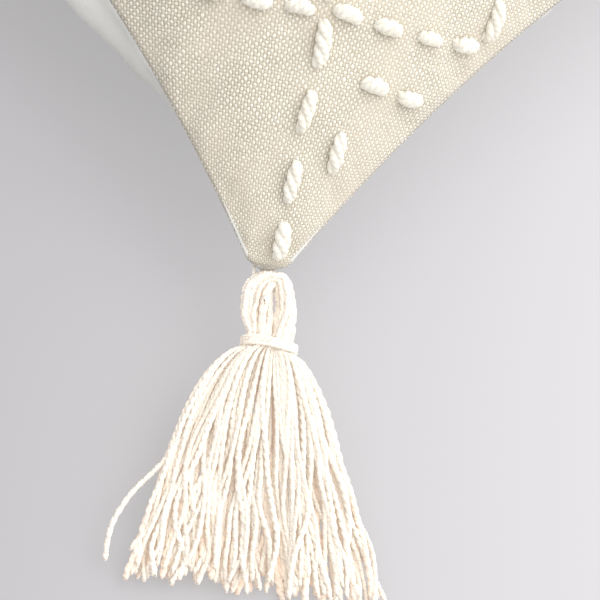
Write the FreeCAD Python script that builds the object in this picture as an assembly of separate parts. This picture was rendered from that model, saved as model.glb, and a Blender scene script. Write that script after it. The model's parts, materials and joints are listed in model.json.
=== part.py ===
import FreeCAD, Part
import bisect
import math
import os

# Square throw pillow, lying on its back panel: front panel up, sides along X and Y.
# Origin: on the surface it lies on, under the middle of the pillow. Millimetres, +Z up.
# "Bottom" is the side that carries the zip (+Y); the corner at +X, -Y is top_left.

Vector = FreeCAD.Vector

# Overall shape of the stuffed cover
CORNER_SPACING = 430.0       # between the corner points of one side
SIDE_PULL_IN = 20.0          # how far the middle of each side is drawn in
CORNER_HEIGHT = 25.0         # seam height at the corners
SEAM_RISE = 40.0             # extra seam height in the middle of each side
FRONT_CROWN = 75.0           # front panel above the seam's mid height
BACK_CROWN = 88.0            # depth the back panel would have, were it not resting
CROWN_ANGLE = 78.0           # degrees; how round the panels are towards the seam
TIP_CUT = 10.0               # the sewn corner is blunt by this much
FLAT_CLOTH = 450.0           # side of the flat cut cloth, seam to seam

# Cloth and filling
COVER_CLOTH = 1.2
CASING_CLOTH = 0.4
LAYER_GAP = 0.5              # between the cover and the insert, at the crowns
INSERT_SHORTFALL = 9.0       # the insert stops this far short of the cover's seam
PANEL_GAP = 0.2              # between the front and back cloth at the seam
FILL_GAP = 0.3               # fibre to the casing
FILL_EDGE_GAP = 1.5          # fibre to the casing, at its seam
REST_DIP = 1.5               # depth of the outer cloth that is pressed flat by resting
REST_SOFTNESS = 6.0          # how gently the back panel meets the surface it rests on
SEAM_THREAD_RADIUS = 0.45

# Zip in the bottom seam
ZIP_LENGTH = 350.0           # row of teeth
ZIP_SLOT = 10.0              # opening between the two panels
ZIP_TAPE_END = 6.0           # tape beyond the teeth
ZIP_RECESS = 5.5             # face of the tape behind the seam line
ZIP_FIT = 0.25               # tape to the edges of the opening
TAPE_THICKNESS = 0.5
TAPE_PARTING = 1.0           # between the two tapes
TOOTH_PITCH = 2.4            # along one row; the other row sits half a pitch on
TOOTH_WIDTH = 1.1
TOOTH_HEIGHT = 1.6
TOOTH_REACH = 0.7            # past the middle line
TOOTH_ROOT = 2.3
TOOTH_LIFT = 0.05            # above the tape
SLIDER_LENGTH = 9.0
SLIDER_WIDTH = 8.4
SLIDER_PLATE = 0.8
SLIDER_GAP = 0.15            # plate above the teeth
SLIDER_RIM = 1.5             # width of each side flange
CHEEK_SPACING = 3.2
CHEEK_THICKNESS = 0.8
CHEEK_LENGTH = 3.0
PIN_RADIUS = 0.7
PIN_HEIGHT = 4.1             # above the slider's plate, so that the pull clears the seam
PULL_BORE_CLEARANCE = 0.08
PULL_EYE_RADIUS = 1.5
PULL_SIDE_CLEARANCE = 0.2
PULL_LENGTH = 20.0
PULL_WIDTH = 5.0
PULL_THICKNESS = 1.0
PULL_NECK = 2.6              # from the pin to where the tab widens
STOP_LENGTH = 2.4
TOPSTITCH_PITCH = 4.0
TOPSTITCH_LENGTH = 2.6
TOPSTITCH_RADIUS = 0.4
TOPSTITCH_MARGIN = 2.5       # above the edge of the opening

# Yarn stitches sewn on the front panel, in lines at 45 degrees to the sides
ALONG_SPACING = 78.0         # between the lines that run top_left to bottom_right
ALONG_OFFSET = 5.0           # nearest such line, from the cloth's middle
ACROSS_SPACING = 80.0        # between the lines that cross them
ACROSS_OFFSET = -17.0        # nearest crossing line, from the cloth's middle
ALONG_PER_CELL = 4           # stitches per cell on lines that run top_left to bottom_right
ACROSS_PER_CELL = 4          # stitches per cell on the lines that cross them
ALONG_STITCH = 14.0
ACROSS_STITCH = 12.5
STITCH_RADIUS = 2.4
STITCH_SINK = 0.5            # the yarn beds into the cloth
STITCH_MARGIN = 12.0         # kept clear along the seams
ZIP_MARGIN = 26.0            # kept clear along the seam with the zip
CORNER_MARGIN = 23.0         # kept clear at the corner points, for the links
DIAMOND_INSET = 19.0         # small square inside every other cell

# Tassels
THREAD_THICKNESS = 1.2       # sewing thread of the corner bars and the links
THREAD_FIT = 0.1
BAR_STANDOFF = 2.6           # bar beyond the blunt corner
BAR_LENGTH = 7.0
BAR_BURIED = 4.0             # how deep its ends go into the seam
LINK_CLEARANCE = 0.35        # yarn loop to the inside of the link
LOOP_BACK_GAP = 1.3          # yarn loop to the corner bar
LOOP_YARN_RADIUS = 3.2
LOOP_EYE_RADIUS = 2.2
LOOP_LEG_LENGTH = 10.8
LOOP_LEG_RADIUS = 4.2
JOINT_GAP = 0.1              # between the yarn pieces of one tassel
WRAP_LENGTH = 4.0
WRAP_THICKNESS = 1.4
SKIRT_LENGTH = 84.0
SKIRT_NECK_WIDTH = 16.8
SKIRT_NECK_HEIGHT = 7.6
SKIRT_FLARE = [              # share of the length, width, thickness
    (0.09, 30.0, 9.0),
    (0.18, 42.0, 11.0),
    (0.44, 56.0, 12.0),
    (0.79, 72.0, 11.0),
    (1.00, 78.0, 9.0),
]
FLOOR_CLEARANCE = 0.3        # under the skirt's end

HALF = CORNER_SPACING / 2
LINES = int(FLAT_CLOTH / math.sqrt(2) / min(ALONG_SPACING, ACROSS_SPACING)) + 1
SAG = math.hypot(SIDE_PULL_IN, SEAM_RISE)
SIDE_RADIUS = (HALF ** 2 + SAG ** 2) / (2 * SAG)
CENTRE_DEPTH = SIDE_RADIUS - SAG
MAX_ANGLE = math.radians(CROWN_ANGLE)
CASING_INSET = COVER_CLOTH + LAYER_GAP
FILL_INSET = CASING_INSET + CASING_CLOTH + FILL_GAP
GRID = 29
CORNERS = {                  # name: turn about Z from the +X, +Y corner
    "bottom_left": 0,
    "bottom_right": 90,
    "top_right": 180,
    "top_left": 270,
}


# ---------------------------------------------------------------- shape of the pillow

def sag_share(v):
    """Share of the side's full sag at v, from -1 to 1 along the side."""
    along = HALF * min(1.0, abs(v))
    return (math.sqrt(SIDE_RADIUS ** 2 - along ** 2) - CENTRE_DEPTH) / SAG


def spread(a):
    """Place across the pillow, -1 to 1, of a point at share a of the cloth's length."""
    return math.sin(MAX_ANGLE * a) / math.sin(MAX_ANGLE)


def crown_share(a):
    """Share of the crown's height at share a of the cloth's length."""
    edge = math.cos(MAX_ANGLE)
    return (math.cos(MAX_ANGLE * a) - edge) / (1 - edge)


def surface_point(a, b, crown, inset, floor=None, gap=0.0):
    """Point of a panel: crown above the seam surface (negative for the back)."""
    u, v = spread(a), spread(b)
    half = HALF - inset
    sag_u, sag_v = sag_share(u * half / HALF), sag_share(v * half / HALF)
    x = u * (half - SIDE_PULL_IN * sag_v)
    y = v * (half - SIDE_PULL_IN * sag_u)
    seam = CORNER_HEIGHT + SEAM_RISE * (1 - (1 - sag_u) * (1 - sag_v))
    share = crown_share(a) * crown_share(b)
    z = seam + gap + crown * share
    return Vector(x, y, z if floor is None else rested(z, floor, share))


def rested(z, floor, share):
    """Height of the back cloth, eased up to the floor it rests on; the same at the seam."""
    above = z - floor
    eased = floor + (above + math.hypot(above, REST_SOFTNESS)) / 2
    return z + (eased - z) * (1 - (1 - share) ** 4)


def panel_surface(crown, inset, floor=None, gap=0.0):
    shares = [2 * i / (GRID - 1) - 1 for i in range(GRID)]
    net = [[surface_point(a, b, crown, inset, floor, gap) for b in shares] for a in shares]
    surface = Part.BSplineSurface()
    surface.interpolate(net)
    return surface.toShape()


def solid_between(outer, inner):
    """Closed solid of two surfaces with four sides each, and the edges between them."""
    rims = [Part.makeRuledSurface(a, b) for a, b in zip(outer.Edges, inner.Edges)]
    shell = Part.makeShell([outer, inner] + rims)
    shell.sewShape()
    solid = Part.Solid(shell)
    return solid.reversed() if solid.Volume < 0 else solid


def corner_cuts():
    """Four boxes beyond the blunt corners."""
    size = 60.0
    reach = HALF * math.sqrt(2) - TIP_CUT
    box = Part.makeBox(size, 2 * size, 4 * size, Vector(reach, -size, -2 * size))
    return [turned(box, 45 + 90 * i) for i in range(4)]


def turned(shape, degrees):
    copy = shape.copy()
    copy.rotate(Vector(0, 0, 0), Vector(0, 0, 1), degrees)
    return copy


def cover_panel(crown, floor, gap):
    inner_crown = crown - math.copysign(COVER_CLOTH, crown)
    inner_floor = None if floor is None else COVER_CLOTH
    outer = panel_surface(crown, 0.0, floor, gap)
    inner = panel_surface(inner_crown, COVER_CLOTH, inner_floor, gap)
    return solid_between(outer, inner).cut(corner_cuts() + [zip_slot()])


def front_panel():
    return cover_panel(FRONT_CROWN, None, PANEL_GAP / 2)


def back_panel():
    panel = cover_panel(-BACK_CROWN, -REST_DIP, -PANEL_GAP / 2)
    under = Part.makeBox(2 * HALF, 2 * HALF, HALF, Vector(-HALF, -HALF, -HALF))
    return panel.cut(under)


def casing_half(crown, floor):
    """One panel of the insert's casing."""
    inner_crown = crown - math.copysign(CASING_CLOTH, crown)
    inner_floor = None if floor is None else floor + CASING_CLOTH
    gap = math.copysign(PANEL_GAP / 2, crown)
    outer = panel_surface(crown, INSERT_SHORTFALL, floor, gap)
    inner = panel_surface(inner_crown, INSERT_SHORTFALL + CASING_CLOTH, inner_floor, gap)
    return solid_between(outer, inner)


def fibre_fill():
    inset = INSERT_SHORTFALL + CASING_CLOTH + FILL_EDGE_GAP
    rim = PANEL_GAP / 2
    top = panel_surface(FRONT_CROWN - FILL_INSET, inset, None, rim)
    bottom = panel_surface(FILL_INSET - BACK_CROWN, inset, FILL_INSET, -rim)
    return solid_between(top, bottom)


# ---------------------------------------------------------------- seams

def side_mid():
    return Vector(0, HALF - SIDE_PULL_IN, CORNER_HEIGHT + SEAM_RISE)


def side_centre():
    """Centre of the circle that the bottom side's seam follows."""
    inward = Vector(0, -SIDE_PULL_IN, SEAM_RISE) / SAG
    return side_mid() - inward * SIDE_RADIUS


def side_axis():
    """Axis of that circle; a positive turn moves towards -X."""
    return Vector(0, -SEAM_RISE, -SIDE_PULL_IN) / SAG


def degrees_along(distance):
    return math.degrees(math.asin(distance / SIDE_RADIUS))


def swept(face, start, end):
    """Face at x = 0 swept along the seam's circle, from start to end in degrees."""
    face = face.copy()
    face.rotate(side_centre(), side_axis(), start)
    return face.revolve(side_centre(), side_axis(), end - start)


def profile(y0, y1, z0, z1):
    """Rectangle at x = 0, measured outward and up from the middle of the seam."""
    corners = [(y0, z0), (y1, z0), (y1, z1), (y0, z1), (y0, z0)]
    return Part.Face(Part.makePolygon([side_mid() + Vector(0, y, z) for y, z in corners]))


def thread_along(inset, start, end):
    """Round thread along the bottom seam, inset from the cloth's edge."""
    centre = side_mid() + Vector(0, -inset, 0)
    circle = Part.makeCircle(SEAM_THREAD_RADIUS, centre, Vector(1, 0, 0))
    return swept(Part.Face(Part.Wire(circle)), start, end)


def cover_thread(quarter_turns):
    """Seam thread of one side that has no zip."""
    reach = degrees_along(HALF - 2 * TIP_CUT)
    return turned(thread_along(COVER_CLOTH / 2, -reach, reach), 90 * quarter_turns)


def zip_side_threads():
    """The two short seams between the zip and the corners."""
    inner = degrees_along(ZIP_LENGTH / 2 + ZIP_TAPE_END + 2 * ZIP_FIT + 1)
    outer = degrees_along(HALF - 2 * TIP_CUT)
    left = thread_along(COVER_CLOTH / 2, -outer, -inner)
    return Part.makeCompound([left, thread_along(COVER_CLOTH / 2, inner, outer)])


def casing_threads():
    inset = INSERT_SHORTFALL + CASING_CLOTH / 2
    reach = degrees_along(HALF - INSERT_SHORTFALL - TIP_CUT)
    thread = thread_along(inset, -reach, reach)
    return Part.makeCompound([turned(thread, 90 * i) for i in range(4)])


# ---------------------------------------------------------------- zip

def zip_slot():
    reach = degrees_along(ZIP_LENGTH / 2 + ZIP_TAPE_END + ZIP_FIT)
    depth = INSERT_SHORTFALL - LAYER_GAP
    face = profile(-depth, 4 * ZIP_SLOT, -ZIP_SLOT / 2, ZIP_SLOT / 2)
    return swept(face, -reach, reach)


def zip_tape(side):
    reach = degrees_along(ZIP_LENGTH / 2 + ZIP_TAPE_END)
    near, far = side * TAPE_PARTING / 2, side * (ZIP_SLOT / 2 - ZIP_FIT)
    back = -ZIP_RECESS - TAPE_THICKNESS
    return swept(profile(back, -ZIP_RECESS, min(near, far), max(near, far)), -reach, reach)


def tooth_range():
    """Outward reach of the teeth, from their feet to their faces."""
    foot = TOOTH_LIFT - ZIP_RECESS
    return foot, foot + TOOTH_HEIGHT


def zip_teeth(side):
    foot, face = tooth_range()
    ends = sorted((-side * TOOTH_REACH, side * TOOTH_ROOT))
    section = profile(foot, face, ends[0], ends[1])
    width = degrees_along(TOOTH_WIDTH)
    pitch = degrees_along(TOOTH_PITCH)
    count = int(ZIP_LENGTH / TOOTH_PITCH)
    first = -pitch * count / 2 + (0 if side > 0 else pitch / 2)
    return Part.makeCompound(
        [swept(section, first + pitch * i, first + pitch * i + width) for i in range(count)])


def slider_angle():
    """Turn that takes a part at the middle of the seam to the closed end, at -X."""
    return degrees_along(ZIP_LENGTH / 2 - SLIDER_LENGTH / 2)


def at_closed_end(shape):
    shape = shape.copy()
    shape.rotate(side_centre(), side_axis(), slider_angle())
    return shape


def seam_box(x0, x1, y0, y1, z0, z1):
    corner = side_mid() + Vector(x0, y0, z0)
    return Part.makeBox(x1 - x0, y1 - y0, z1 - z0, corner)


def slider_levels():
    """Outward reach of the plate's underside, its face and the pin."""
    under = tooth_range()[1] + SLIDER_GAP
    face = under + SLIDER_PLATE
    return under, face, face + PIN_HEIGHT


def pin_place():
    return side_mid() + Vector(0, slider_levels()[2], 0)


def zip_slider():
    under, face, pin_y = slider_levels()
    half_length, half_width = SLIDER_LENGTH / 2, SLIDER_WIDTH / 2
    tape_gap = TOOTH_LIFT + ZIP_FIT
    body = seam_box(-half_length, half_length, under, face, -half_width, half_width)
    pieces = []
    for side in (-1, 1):
        rim = sorted((side * (half_width - SLIDER_RIM), side * half_width))
        pieces.append(seam_box(-half_length, half_length, tape_gap - ZIP_RECESS, under, *rim))
        cheek = sorted((side * CHEEK_SPACING / 2, side * (CHEEK_SPACING / 2 + CHEEK_THICKNESS)))
        top = pin_y + PIN_RADIUS + CHEEK_THICKNESS / 2
        pieces.append(seam_box(-CHEEK_LENGTH / 2, CHEEK_LENGTH / 2, face, top, *cheek))
    pin_length = CHEEK_SPACING + CHEEK_THICKNESS
    foot = pin_place() - Vector(0, 0, pin_length / 2)
    pieces.append(Part.makeCylinder(PIN_RADIUS, pin_length, foot, Vector(0, 0, 1)))
    return at_closed_end(body.fuse(pieces).removeSplitter())


def zip_pull():
    """Eye round the slider's pin, a narrow neck, then the wider tab."""
    centre = pin_place()
    eye_half = CHEEK_SPACING / 2 - PULL_SIDE_CLEARANCE
    up = Vector(0, 0, 1)
    eye = Part.makeCylinder(PULL_EYE_RADIUS, 2 * eye_half, centre - up * eye_half, up)
    thin = PULL_THICKNESS / 2
    neck = Part.makeBox(PULL_NECK, 2 * thin, 2 * eye_half, centre + Vector(0, -thin, -eye_half))
    tab = Part.makeBox(PULL_LENGTH - PULL_NECK, 2 * thin, PULL_WIDTH,
                       centre + Vector(PULL_NECK, -thin, -PULL_WIDTH / 2))
    ends = [e for e in tab.Edges if abs(e.BoundBox.YLength - 2 * thin) < 1e-6
            and e.CenterOfMass.x > centre.x + PULL_LENGTH - 0.1]
    tab = tab.makeFillet(PULL_WIDTH / 3, ends)
    pull = eye.fuse([neck, tab]).removeSplitter()
    bore_radius = PIN_RADIUS + PULL_BORE_CLEARANCE
    bore = Part.makeCylinder(bore_radius, 2 * PULL_WIDTH, centre - up * PULL_WIDTH, up)
    return at_closed_end(pull.cut(bore))


def zip_stop(start, z0, z1):
    """Small block clamped on the tape beyond the teeth."""
    foot, face = tooth_range()
    width = degrees_along(STOP_LENGTH)
    return swept(profile(foot, face, z0, z1), start, start + width)


def zip_stops():
    beyond = degrees_along(ZIP_LENGTH / 2 + 1.0)
    closed = [zip_stop(beyond, *sorted((side * 0.3, side * TOOTH_ROOT))) for side in (-1, 1)]
    return Part.makeCompound(closed)


def zip_bottom_stop():
    beyond = degrees_along(ZIP_LENGTH / 2 + 1.0 + STOP_LENGTH)
    return zip_stop(-beyond, -TOOTH_ROOT, TOOTH_ROOT)


def zip_topstitch(crown, floor, gap):
    """Row of thread stitches beside the opening, bedded half into the panel."""
    edge = math.cos(MAX_ANGLE)
    height = ZIP_SLOT / 2 + TOPSTITCH_MARGIN
    reach = ZIP_LENGTH / 2
    stitches = []
    for i in range(int(2 * reach / TOPSTITCH_PITCH)):
        along = -reach + TOPSTITCH_PITCH * (i + 0.5)
        a = math.asin(along / HALF * math.sin(MAX_ANGLE)) / MAX_ANGLE
        share = min(0.9, height / (abs(crown) * crown_share(a)))
        b = math.acos(edge + share * (1 - edge)) / MAX_ANGLE
        step = TOPSTITCH_LENGTH / 2 / FLAT_CLOTH * 2
        ends = [surface_point(a + k * step, b, crown, 0.0, floor, gap) for k in (-1, 1)]
        stitches.append(capsule(ends[0], ends[1], TOPSTITCH_RADIUS))
    return Part.makeCompound(stitches)


# ---------------------------------------------------------------- yarn on the front panel

def capsule(start, end, radius):
    """Round-ended rod from start to end, rounded beyond both."""
    along = end - start
    rod = Part.makeCylinder(radius, along.Length, start, along)
    return rod.fuse([Part.makeSphere(radius, start), Part.makeSphere(radius, end)]).removeSplitter()


def section_lengths(steps=400):
    """Length of the front cloth from its middle to each of a row of equal shares."""
    lengths = [0.0]
    last = surface_point(0, 0, FRONT_CROWN, 0.0)
    for i in range(1, steps + 1):
        here = surface_point(i / steps, 0, FRONT_CROWN, 0.0)
        lengths.append(lengths[-1] + (here - last).Length)
        last = here
    return lengths


SECTION = section_lengths()


def cloth_share(distance):
    """Share that lies at a distance from the middle, measured along the flat cloth."""
    wanted = abs(distance) / (FLAT_CLOTH / 2) * SECTION[-1]
    step = max(1, min(bisect.bisect_left(SECTION, wanted), len(SECTION) - 1))
    before, after = SECTION[step - 1], SECTION[step]
    share = (step - 1 + (wanted - before) / (after - before)) / (len(SECTION) - 1)
    return math.copysign(share, distance)


def cloth_point(along, across):
    """Front cloth at a place measured from its middle: along the line that runs from
    bottom_right to top_left, and across it. Gives the point and the outward normal."""
    p = (along + across) / math.sqrt(2)
    q = (across - along) / math.sqrt(2)

    def point(dp, dq):
        a, b = cloth_share(p + dp), cloth_share(q + dq)
        return surface_point(a, b, FRONT_CROWN, 0.0, None, PANEL_GAP / 2)

    normal = (point(1, 0) - point(-1, 0)).cross(point(0, 1) - point(0, -1))
    return point(0, 0), normal.normalize()


def on_cloth(along, across):
    """Whether a place on the front cloth is clear of the seams and the corners."""
    p, q = (along + across) / math.sqrt(2), (across - along) / math.sqrt(2)
    limit = FLAT_CLOTH / 2 - STITCH_MARGIN
    clear = abs(p) < limit and -limit < q < FLAT_CLOTH / 2 - ZIP_MARGIN
    return clear and max(abs(along), abs(across)) < FLAT_CLOTH / math.sqrt(2) - CORNER_MARGIN


def yarn_stitch(along, across, length, runs_along):
    half = length / 2 - STITCH_RADIUS
    step = (half, 0) if runs_along else (0, half)
    start, normal_a = cloth_point(along - step[0], across - step[1])
    end, normal_b = cloth_point(along + step[0], across + step[1])
    lift = (normal_a + normal_b).normalize() * (STITCH_RADIUS - STITCH_SINK)
    return capsule(start + lift, end + lift, STITCH_RADIUS)


def line_stitches(runs_along):
    """Every line of one direction of the lattice."""
    if runs_along:
        length, pitch = ALONG_STITCH, ACROSS_SPACING / ALONG_PER_CELL
    else:
        length, pitch = ACROSS_STITCH, ALONG_SPACING / ACROSS_PER_CELL
    count = int(FLAT_CLOTH / pitch)
    stitches = []
    for line in range(-LINES, LINES + 1):
        for i in range(-count, count):
            travel = (i + 0.5) * pitch
            if runs_along:
                place = (ACROSS_OFFSET + travel, ALONG_OFFSET + line * ALONG_SPACING)
            else:
                place = (ACROSS_OFFSET + line * ACROSS_SPACING, ALONG_OFFSET + travel)
            if on_cloth(*place):
                stitches.append(yarn_stitch(*place, length, runs_along))
    return Part.makeCompound(stitches)


def diamond_stitches():
    """Small squares inside every other cell of the lattice."""
    reach_along = ACROSS_SPACING / 2 - DIAMOND_INSET
    reach_across = ALONG_SPACING / 2 - DIAMOND_INSET
    shift = ALONG_SPACING / ACROSS_PER_CELL / 2
    stitches = []
    for i in range(-LINES - 1, LINES + 1):
        for j in range(-LINES - 1, LINES + 1):
            if (i + j) % 2 == 0:
                continue
            along = ACROSS_OFFSET + (i + 0.5) * ACROSS_SPACING
            across = ALONG_OFFSET + (j + 0.5) * ALONG_SPACING
            places = []
            for side in (-1, 1):
                places.append((along, across + side * reach_across, ALONG_STITCH, True))
                for half in (-1, 1):
                    place = (along + side * reach_along, across + half * shift)
                    places.append((*place, ACROSS_STITCH, False))
            stitches += [yarn_stitch(*p) for p in places if on_cloth(p[0], p[1])]
    return Part.makeCompound(stitches)


# ---------------------------------------------------------------- tassels
# Each tassel is made along +X from its corner bar, which lies along Y at the origin.

THREAD = THREAD_THICKNESS / 2
LINK_TURN = 2 * THREAD + THREAD_FIT
EYE_X = THREAD + LOOP_BACK_GAP + 2 * LOOP_YARN_RADIUS + LOOP_EYE_RADIUS
LINK_LENGTH = EYE_X - LINK_TURN            # between the centres of the link's corners
LINK_SLANT = math.asin((LOOP_YARN_RADIUS + LINK_CLEARANCE + THREAD - LINK_TURN)
                       / (EYE_X - LOOP_EYE_RADIUS - LOOP_YARN_RADIUS))
LINK_HALF_HEIGHT = LINK_LENGTH * math.tan(LINK_SLANT)
NECK_X = EYE_X + LOOP_LEG_LENGTH + JOINT_GAP
SKIRT_END = NECK_X + SKIRT_LENGTH


def tassel_slope():
    """Degrees that the tassel slopes down, so that its end lies just above the surface."""
    drop = CORNER_HEIGHT - FLOOR_CLEARANCE
    end_half = SKIRT_FLARE[-1][2] / 2
    reach = math.hypot(SKIRT_END, end_half)
    return math.degrees(math.asin(drop / reach) - math.atan2(end_half, SKIRT_END))


def bar_place():
    """Corner bar's middle, for the corner at +X, before the corner is turned to its place."""
    reach = HALF * math.sqrt(2) - TIP_CUT + BAR_STANDOFF
    return Vector(reach, 0, CORNER_HEIGHT)


def corner_turn(name):
    return CORNERS[name] + 45


def placed(shape, corner):
    shape = shape.copy()
    shape.rotate(Vector(0, 0, 0), Vector(0, 1, 0), tassel_slope())
    shape.translate(bar_place())
    return turned(shape, corner_turn(corner))


def corner_bars():
    """Thread bars sewn across the four blunt corners."""
    down = Vector(0, -BAR_LENGTH / 2, 0)
    leg = BAR_STANDOFF + BAR_BURIED
    bar = Part.makeCylinder(THREAD, BAR_LENGTH, down, Vector(0, 1, 0))
    legs = [Part.makeCylinder(THREAD, leg, down * s, Vector(-1, 0, 0)) for s in (-1, 1)]
    knees = [Part.makeSphere(THREAD, down * s) for s in (-1, 1)]
    bar = bar.fuse(legs + knees).removeSplitter()
    bar.translate(bar_place())
    return Part.makeCompound([turned(bar, corner_turn(name)) for name in CORNERS])


def tassel_link():
    """Ring of round sewing thread, upright, from the corner bar round the yarn loop.
    It turns round the bar at one corner and has a straight outer side."""
    corners = [Vector(0, 0, 0), Vector(LINK_LENGTH, 0, -LINK_HALF_HEIGHT),
               Vector(LINK_LENGTH, 0, LINK_HALF_HEIGHT), Vector(0, 0, 0)]
    path = Part.makePolygon(corners).makeOffset2D(LINK_TURN)
    first = path.OrderedEdges[0]
    start, along = first.valueAt(first.FirstParameter), first.tangentAt(first.FirstParameter)
    section = Part.Wire(Part.makeCircle(THREAD, start, along))
    return path.makePipeShell([section], True, False)


def tassel_loop():
    """Flat yarn loop: a half ring round the link's outer bar, and two thicker legs."""
    ring_radius = LOOP_EYE_RADIUS + LOOP_YARN_RADIUS
    start = Vector(EYE_X, ring_radius, 0)
    circle = Part.makeCircle(LOOP_YARN_RADIUS, start, Vector(1, 0, 0))
    bend = Part.Face(Part.Wire(circle)).revolve(Vector(EYE_X, 0, 0), Vector(0, 0, 1), 180)
    legs = [Part.makeCone(LOOP_YARN_RADIUS, LOOP_LEG_RADIUS, LOOP_LEG_LENGTH,
                          Vector(EYE_X, side * ring_radius, 0), Vector(1, 0, 0))
            for side in (-1, 1)]
    return bend.fuse(legs)


def oval(x, width, height):
    ellipse = Part.Ellipse(Vector(x, 0, 0), width / 2, height / 2)
    edge = ellipse.toShape()
    edge.rotate(Vector(x, 0, 0), Vector(0, 1, 0), 90)
    edge.rotate(Vector(x, 0, 0), Vector(1, 0, 0), 90)
    return Part.Wire(edge)


def tassel_skirt():
    neck_end = NECK_X + JOINT_GAP + WRAP_LENGTH + JOINT_GAP
    neck_length = neck_end - NECK_X
    ovals = [oval(neck_end, SKIRT_NECK_WIDTH, SKIRT_NECK_HEIGHT)]
    for share, width, height in SKIRT_FLARE:
        ovals.append(oval(NECK_X + share * SKIRT_LENGTH, width, height))
    flare = Part.makeLoft(ovals, True, True)
    neck = Part.Face(oval(NECK_X, SKIRT_NECK_WIDTH, SKIRT_NECK_HEIGHT))
    return flare.fuse(neck.extrude(Vector(neck_length, 0, 0)))


def tassel_wrap():
    start = NECK_X + JOINT_GAP
    grow = 2 * WRAP_THICKNESS
    outer = Part.Face(oval(start, SKIRT_NECK_WIDTH + grow, SKIRT_NECK_HEIGHT + grow))
    inner = Part.Face(oval(start, SKIRT_NECK_WIDTH + 2 * JOINT_GAP,
                           SKIRT_NECK_HEIGHT + 2 * JOINT_GAP))
    return outer.cut(inner).extrude(Vector(WRAP_LENGTH, 0, 0))


def tassels():
    parts = {"link": tassel_link(), "loop": tassel_loop(),
             "wrap": tassel_wrap(), "skirt": tassel_skirt()}
    return {f"tassel_{corner}_{part}": placed(shape, corner)
            for corner in CORNERS for part, shape in parts.items()}


# ---------------------------------------------------------------- the whole pillow

def build():
    """Every sub-part, by the name of its node."""
    nodes = {
        "front_panel": front_panel(),
        "back_panel": back_panel(),
        "seam_thread_left": cover_thread(3),
        "seam_thread_top": cover_thread(2),
        "seam_thread_right": cover_thread(1),
        "seam_thread_bottom": zip_side_threads(),
        "insert_casing_front": casing_half(FRONT_CROWN - CASING_INSET, None),
        "insert_casing_back": casing_half(CASING_INSET - BACK_CROWN, CASING_INSET),
        "insert_seam_thread": casing_threads(),
        "fibre_fill": fibre_fill(),
        "zip_tape_front": zip_tape(1),
        "zip_tape_back": zip_tape(-1),
        "zip_teeth_front": zip_teeth(1),
        "zip_teeth_back": zip_teeth(-1),
        "zip_top_stops": zip_stops(),
        "zip_bottom_stop": zip_bottom_stop(),
        "zip_slider": zip_slider(),
        "zip_pull": zip_pull(),
        "zip_topstitch_front": zip_topstitch(FRONT_CROWN, None, PANEL_GAP / 2),
        "zip_topstitch_back": zip_topstitch(-BACK_CROWN, -REST_DIP, -PANEL_GAP / 2),
        "yarn_stitches_along": line_stitches(True),
        "yarn_stitches_across": line_stitches(False),
        "yarn_stitches_diamonds": diamond_stitches(),
        "corner_bars": corner_bars(),
    }
    nodes.update(tassels())
    return nodes


def main():
    os.makedirs("parts", exist_ok=True)
    for name, shape in build().items():
        shape.exportStep(f"parts/{name}.step")
        print(name, "valid" if shape.isValid() else "NOT VALID", round(shape.Volume, 1))


if __name__ == "__main__":
    main()
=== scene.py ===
"""Square throw pillow with a tassel at each corner, in metres, in the CAD's frame.
Lengths in the constants are millimetres, as in the CAD source; MM turns them into metres."""

import json
import math

import bpy
import numpy as np
from mathutils import Matrix, Vector

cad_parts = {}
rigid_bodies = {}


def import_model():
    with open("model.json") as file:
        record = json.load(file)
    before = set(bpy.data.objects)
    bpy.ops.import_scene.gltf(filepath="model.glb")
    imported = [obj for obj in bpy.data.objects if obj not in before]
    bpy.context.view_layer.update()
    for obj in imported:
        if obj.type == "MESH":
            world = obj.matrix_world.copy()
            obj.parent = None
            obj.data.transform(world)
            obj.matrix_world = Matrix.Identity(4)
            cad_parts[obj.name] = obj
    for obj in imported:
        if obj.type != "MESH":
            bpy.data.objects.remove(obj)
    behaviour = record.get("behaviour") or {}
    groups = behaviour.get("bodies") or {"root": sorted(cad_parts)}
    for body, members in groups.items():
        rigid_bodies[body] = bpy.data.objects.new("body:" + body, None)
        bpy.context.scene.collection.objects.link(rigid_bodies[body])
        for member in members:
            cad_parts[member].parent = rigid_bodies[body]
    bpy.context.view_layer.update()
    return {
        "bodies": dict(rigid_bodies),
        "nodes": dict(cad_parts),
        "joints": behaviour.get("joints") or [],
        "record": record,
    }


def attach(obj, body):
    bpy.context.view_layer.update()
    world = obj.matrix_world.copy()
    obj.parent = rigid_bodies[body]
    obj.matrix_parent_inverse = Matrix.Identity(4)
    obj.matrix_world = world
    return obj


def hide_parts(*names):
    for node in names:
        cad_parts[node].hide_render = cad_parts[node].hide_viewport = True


MM = 0.001

# Shape of the stuffed cover, the same values as the CAD
CORNER_SPACING = 430.0
SIDE_PULL_IN = 20.0
CORNER_HEIGHT = 25.0
SEAM_RISE = 40.0
FRONT_CROWN = 75.0
BACK_CROWN = 88.0
CROWN_ANGLE = math.radians(78.0)
TIP_CUT = 10.0
NOSE_RADIUS = 34.0           # roundness of the blunt corner
BACK_BULGE = {               # swell of the back panel past the seam, by axis and sign
    (0, 1): 5.0, (0, -1): 11.0, (1, 1): 5.0, (1, -1): 18.0}
BULGE_HEIGHT = 62.0          # cloth from the seam to where the swell ends
BULGE_CORNERS = (45.0, 150.0)  # distances from a corner where the swell starts and is full
FLAT_CLOTH = 450.0
EDGE = FLAT_CLOTH / 2        # from the cloth's middle to the seam
COVER_CLOTH = 1.2
PANEL_GAP = 0.2
FLOOR_CLEARANCE = 0.05
INSERT_SHORTFALL = 9.0       # from the cover's seam to the insert's
FILL_SHORTFALL = INSERT_SHORTFALL + 1.9
CASING_INSET = 1.7
CASING_CLOTH = 0.35
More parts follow.
